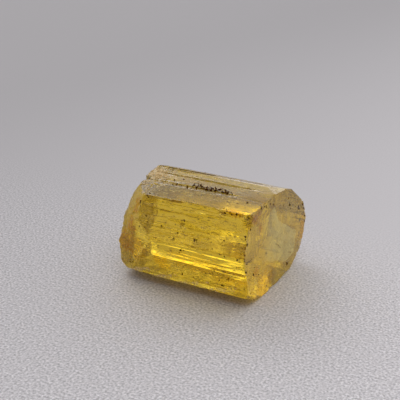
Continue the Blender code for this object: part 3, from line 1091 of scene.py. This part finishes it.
def inside(tree, place):
    """How deep a place lies inside the crystal, in mm: below 0 outside it."""
    nearest, normal, _, gap = tree.find_nearest(place)
    return gap if (place - nearest).dot(normal) < 0.0 else -gap


def flake_shape(rng, round_ball, place, up, radius, width):
    """One flat flake across the way up, longest along the crystal."""
    points, triangles = round_ball
    along = ALONG if abs(up.x) < STEEPEST else ACROSS
    across = up.cross(along).normalized()
    turn = np.array((across.cross(up), across, up))
    wide = radius * width * rng.uniform(*FLAKE_WIDTHS)
    flat = points * (radius, wide, min(CRACK_THICKNESS, 0.5 * wide))
    return flat @ turn + np.array(place), triangles


def flakes_of(rng, tree, stage, clusters, depths, most, level=False):
    """Clusters of flakes, along the surface or level, and none too large for its depth."""
    round_ball = ball(1)
    room = LEVEL_ROOM if level else FLAKE_ROOM
    for middle, spread, count, size, width in clusters.values():
        for _ in range(count):
            pixel = [at + rng.gauss(0.0, wide) for at, wide in zip(middle, spread)]
            place, normal = sight(tree, stage, pixel)
            depth, radius = rng.uniform(*depths), size * rng.uniform(*FLAKE_SIZES)
            lean = random_step(rng, most)
            if place is None:
                continue
            place = place - normal * depth
            if depths[0] > 0.0:
                radius = min(radius, room * inside(tree, place))
            if radius > 0.0:
                up = ((UP if level else normal) + lean).normalized()
                yield flake_shape(rng, round_ball, place, up, radius, width)


def make_feathers(stage):
    """The feather under the end, the frost on the skin and the clusters of flakes under it."""
    rng = random.Random(FLAKE_SEED)
    tree = body_tree()
    plate = joined_mesh("feather", [feather_plate(rng, tree, stage)])
    add_piece("end_feather", plate, feather_material())
    frost = flake_material("frost", *FROST_LOOK)
    pale = flake_material("pale flake", *PALE_LOOK)
    rust = flake_material("rust flake", *RUST_LOOK)
    gleam = gleam_material("gleaming flake")
    for name, material, *kind in (
        ("skin_frost", frost, FROST_CLUSTERS, FROST_DEPTHS, FROST_LEAN),
        ("pale_flakes", pale, PALE_CLUSTERS, FLAKE_DEPTHS, FLAKE_LEAN),
        ("rust_flakes", rust, RUST_CLUSTERS, FLAKE_DEPTHS, FLAKE_LEAN),
        ("gleaming_flakes", gleam, GLEAM_CLUSTERS, GLEAM_DEPTHS, GLEAM_LEAN, True),
    ):
        add_piece(name, joined_mesh(name, list(flakes_of(rng, tree, stage, *kind))), material)


def make_floor(look):
    bpy.ops.mesh.primitive_plane_add(size=FLOOR_SIZE, location=(0.0, 0.0, -AIR_GAP * MM))
    floor = bpy.context.object
    floor.name = "floor"
    floor.data.materials.append(floor_material(look))


def add_light(name, place, facing, power, **settings):
    """An area light of these settings that faces this way."""
    light = bpy.data.lights.new(name, "AREA")
    light.energy = power
    for setting, value in settings.items():
        setattr(light, setting, value)
    obj = bpy.data.objects.new(name, light)
    obj.location = place
    obj.rotation_euler = facing.to_track_quat("-Z", "Y").to_euler()
    bpy.context.scene.collection.objects.link(obj)


def make_lights(look):
    """A lamp above the crystal, and pale windows low round it, which light it up from within."""
    for number, (turn, tilt, width, height, share) in enumerate(WINDOWS):
        way = way_round(math.radians(turn), math.radians(tilt))
        size = {"shape": "RECTANGLE", "size": width, "size_y": height}
        power = share * look.window_power
        add_light(f"low window {number}", way * WINDOW_DISTANCE, -way, power, **size)
    facing = Vector(LAMP_AIM) - Vector(LAMP_PLACE)
    add_light("large lamp", LAMP_PLACE, facing, look.lamp_power, shape="DISK", size=LAMP_SIZE)


def make_sky(look):
    """Soft light from all round: palest low behind the crystal, darker overhead and in front."""
    world = bpy.data.worlds.new("soft room")
    bpy.context.scene.world = world
    world.use_nodes = True
    tree = world.node_tree
    way = add_node(tree, "ShaderNodeTexCoord").outputs["Generated"]
    height = axis_node(tree, way, "Z")
    toward = along_node(tree, way, GLOW_WAY)
    front = rise_node(tree, toward, *FRONT_DARK, look.sky_front, 1.0)
    level = rise_node(tree, height, *SKY_HEIGHTS, look.sky_low, look.sky_high)
    level = math_node(tree, "MULTIPLY", level, front)
    glow = rise_node(tree, toward, GLOW_START, 1.0, 0.0, look.sky_glow)
    strength = math_node(tree, "ADD", level, glow)
    background = tree.nodes["Background"]
    background.inputs["Color"].default_value = (*look.sky_colour, 1.0)
    tree.links.new(strength, background.inputs["Strength"])


def make_camera(look):
    camera = bpy.data.cameras.new("camera")
    camera.lens = look.camera_lens / MM
    camera.sensor_width = SENSOR
    camera.clip_start = MM
    obj = bpy.data.objects.new("camera", camera)
    bpy.context.scene.collection.objects.link(obj)
    obj.matrix_world = camera_place(look)
    bpy.context.scene.camera = obj

# --- Places on the crystal, given by where the camera shows them ---


def way_round(turn, tilt):
    """The way to what stands this far round from the front to the right, and this high."""
    level = math.cos(tilt)
    return Vector((math.sin(turn) * level, -math.cos(turn) * level, math.sin(tilt)))


def camera_place(stage):
    """The camera's matrix: it looks at the aim point through the aim pixel."""
    turn = stage.camera_turn
    back = way_round(turn, stage.camera_tilt)
    right = Vector((math.cos(turn), math.sin(turn), 0.0))
    up = back.cross(right)
    matrix = Matrix((right, up, back)).transposed()
    sight = matrix @ pixel_way(stage, AIM_PIXEL)
    place = AIM_POINT * MM - sight * stage.camera_distance
    return Matrix.Translation(place) @ matrix.to_4x4()


def pixel_way(stage, pixel):
    """The way through a pixel in the camera's own axes, one long along its line of sight."""
    step = SENSOR * MM / stage.camera_lens / FRAME_PIXELS
    x, y = pixel
    return Vector(((x - FRAME_PIXELS / 2) * step, (FRAME_PIXELS / 2 - y) * step, -1.0))


def sight(tree, stage, pixel):
    """(place, normal) in mm where a pixel shows the crystal, or (None, None) off it."""
    camera = camera_place(stage)
    ray = (camera.to_3x3() @ pixel_way(stage, pixel)).normalized()
    place, normal, _, _ = tree.ray_cast(camera.translation / MM, ray)
    return place, normal


def outward_hit(tree, x, angle):
    """(place, normal) on the side of the crystal, at x along it and at this angle round it."""
    start = Vector((x, CENTRE[1], CENTRE[2]))
    return first_hit(tree, start, Vector((0.0, math.cos(angle), math.sin(angle))))


def spots_of(grid, tree, stage, spots, what):
    """How strongly each point of the grid lies in one of these spots, from 0 to 1."""
    total = np.zeros(grid.shape[:2])
    wobble = noise_at(grid, what)
    for pixel, (wide, high), strength in spots.values():
        place, _ = sight(tree, stage, pixel)
        offset = (grid - np.array(place)) / (wide, wide, high)
        within = 1.0 - np.linalg.norm(offset, axis=2) + SPOT_WOBBLE * wobble
        total = np.maximum(total, strength * rise(within, *SPOT_EDGE))
    return total

# --- The add-on ---


def colour_prop(name, description, default):
    return FloatVectorProperty(
        name=name, description=description, default=default, subtype="COLOR", min=0.0, max=1.0
    )


def share_prop(name, description, default):
    return FloatProperty(
        name=name, description=description, default=default, subtype="FACTOR", min=0.0, max=1.0
    )


def length_prop(name, description, default):
    """A length, whose default is given in millimetres."""
    return FloatProperty(
        name=name, description=description, default=default * MM, unit="LENGTH", precision=6
    )


def angle_prop(name, description, default):
    """An angle, whose default is given in degrees."""
    return FloatProperty(
        name=name, description=description, default=math.radians(default), subtype="ANGLE"
    )


def power_prop(name, description, default):
    return FloatProperty(
        name=name, description=description, default=default, unit="POWER", min=0.0
    )


def amount_prop(name, description, default, kind=FloatProperty):
    return kind(name=name, description=description, default=default, min=0)


class TopazLook(bpy.types.PropertyGroup):
    """The finish of the clear crystal and of what lies on it and in it."""

    tint: colour_prop("Tint", "Colour of the clear stone, deep inside", (0.988, 0.928, 0.484))
    skin: colour_prop("Skin", "Tint of the surface itself", (1.0, 0.87, 0.3))
    depth_of_colour: amount_prop("Depth of colour", "How fast the tint builds up", 300.0)
    refraction: amount_prop("Refraction", "Refractive index", 1.62)
    gloss: share_prop("Gloss", "Roughness of the long faces", 0.08)
    frost: share_prop("Frost", "Roughness of the break", 0.42)
    etching: share_prop("Etching", "Roughness of the underside", 0.5)
    # painted sheen: pales the faces that face up, as well as making them matt
    top_sheen_painted: share_prop("Top haze", "How pale and matt the top face is", 0.15)
    line_depth: length_prop("Growth lines", "Depth of the lines along the crystal", 0.04)
    break_depth: length_prop("Break relief", "Depth of the lumps on the broken end", 0.11)
    wear: length_prop("Edge wear", "Depth of the nicks along the edges", 0.02)
    pits: amount_prop("Etch pits", "Number of etch pits", 170, IntProperty)
    tubes: amount_prop("Growth tubes", "Number tried, besides those set by hand", 240, IntProperty)
    stain_colour: colour_prop("Iron stain", "Colour of the stained places", (0.60, 0.20, 0.01))
    oxide_colour: colour_prop("Oxide", "Colour of the oxide grains", (0.045, 0.012, 0.004))


class TopazStage(bpy.types.PropertyGroup):
    """The floor, the light and the camera."""

    floor_colour: colour_prop("Floor", "Colour of the floor", (0.53, 0.516, 0.53))
    floor_grain: amount_prop("Floor grain", "Contrast of the paper's grain", 1.5)
    sky_colour: colour_prop("Room", "Colour of the soft light all round", (1.0, 0.98, 1.0))
    sky_low: amount_prop("Low light", "Light that comes in level", 0.42)
    sky_high: amount_prop("Top light", "Light from straight above", 0.28)
    sky_front: share_prop("Front light", "Share of that light that comes from in front", 0.4)
    sky_glow: amount_prop("Back light", "Light added behind the crystal", 0.6)
    lamp_power: power_prop("Lamp", "Power of the large lamp", 0.1)
    window_power: power_prop("Windows", "Power that the low windows take their shares of", 0.16)
    camera_turn: angle_prop("Camera turn", "How far the camera stands round to the right", 29.0)
    camera_tilt: angle_prop("Camera height", "How far the camera looks down", 22.0)
    camera_distance: length_prop("Camera distance", "From the camera to the front corner", 72.25)
    camera_lens: length_prop("Lens", "Focal length", 76.5)


class TOPAZ_OT_body(bpy.types.Operator):
    """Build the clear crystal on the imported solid"""

    bl_idname = "topaz.body"
    bl_label = "Clear crystal"

    def execute(self, context):
        make_body(context.scene.topaz_look, context.scene.topaz_stage)
        return {"FINISHED"}


class TOPAZ_OT_grains(bpy.types.Operator):
    """Set the crumbs of oxide into the surface"""

    bl_idname = "topaz.grains"
    bl_label = "Oxide grains"

    def execute(self, context):
        make_grains(context.scene.topaz_look, context.scene.topaz_stage)
        return {"FINISHED"}


class TOPAZ_OT_tubes(bpy.types.Operator):
    """Lay the growth tubes under the surface"""

    bl_idname = "topaz.tubes"
    bl_label = "Growth tubes"

    def execute(self, context):
        make_tubes(context.scene.topaz_look, context.scene.topaz_stage)
        return {"FINISHED"}


class TOPAZ_OT_feathers(bpy.types.Operator):
    """Lay the flat crack under the end, the frost on the skin and the flakes under it"""

    bl_idname = "topaz.feathers"
    bl_label = "Feather, frost and flakes"

    def execute(self, context):
        make_feathers(context.scene.topaz_stage)
        return {"FINISHED"}


class TOPAZ_OT_stage(bpy.types.Operator):
    """Lay the floor and set up the light and the camera"""

    bl_idname = "topaz.stage"
    bl_label = "Studio"

    def execute(self, context):
        look = context.scene.topaz_stage
        make_floor(look)
        make_sky(look)
        make_lights(look)
        make_camera(look)
        context.scene.view_settings.view_transform = "Standard"
        context.scene.cycles.max_bounces = BOUNCES
        context.scene.cycles.transmission_bounces = BOUNCES
        return {"FINISHED"}


class TOPAZ_PT_sidebar(bpy.types.Panel):
    """Builds the crystal piece by piece"""

    bl_idname = "TOPAZ_PT_sidebar"
    bl_label = "Topaz crystal"
    bl_space_type = "VIEW_3D"
    bl_region_type = "UI"
    bl_category = "Topaz"

    def draw(self, context):
        layout = self.layout
        for group, kinds in (
            (context.scene.topaz_look, PIECES),
            (context.scene.topaz_stage, (TOPAZ_OT_stage,)),
        ):
            for name in group.bl_rna.properties.keys():
                if name not in ("rna_type", "name"):
                    layout.prop(group, name)
            for kind in kinds:
                layout.operator(kind.bl_idname)


PIECES = (TOPAZ_OT_body, TOPAZ_OT_grains, TOPAZ_OT_tubes, TOPAZ_OT_feathers)
CLASSES = (TopazLook, TopazStage, *PIECES, TOPAZ_OT_stage, TOPAZ_PT_sidebar)


def register():
    for kind in CLASSES:
        bpy.utils.register_class(kind)
    bpy.types.Scene.topaz_look = PointerProperty(type=TopazLook)
    bpy.types.Scene.topaz_stage = PointerProperty(type=TopazStage)


def unregister():
    del bpy.types.Scene.topaz_look
    del bpy.types.Scene.topaz_stage
    for kind in reversed(CLASSES):
        bpy.utils.unregister_class(kind)


def main():
    register()
    bpy.ops.topaz.body()
    bpy.ops.topaz.grains()
    bpy.ops.topaz.tubes()
    bpy.ops.topaz.feathers()
    bpy.ops.topaz.stage()


if __name__ == "__main__":
    main()
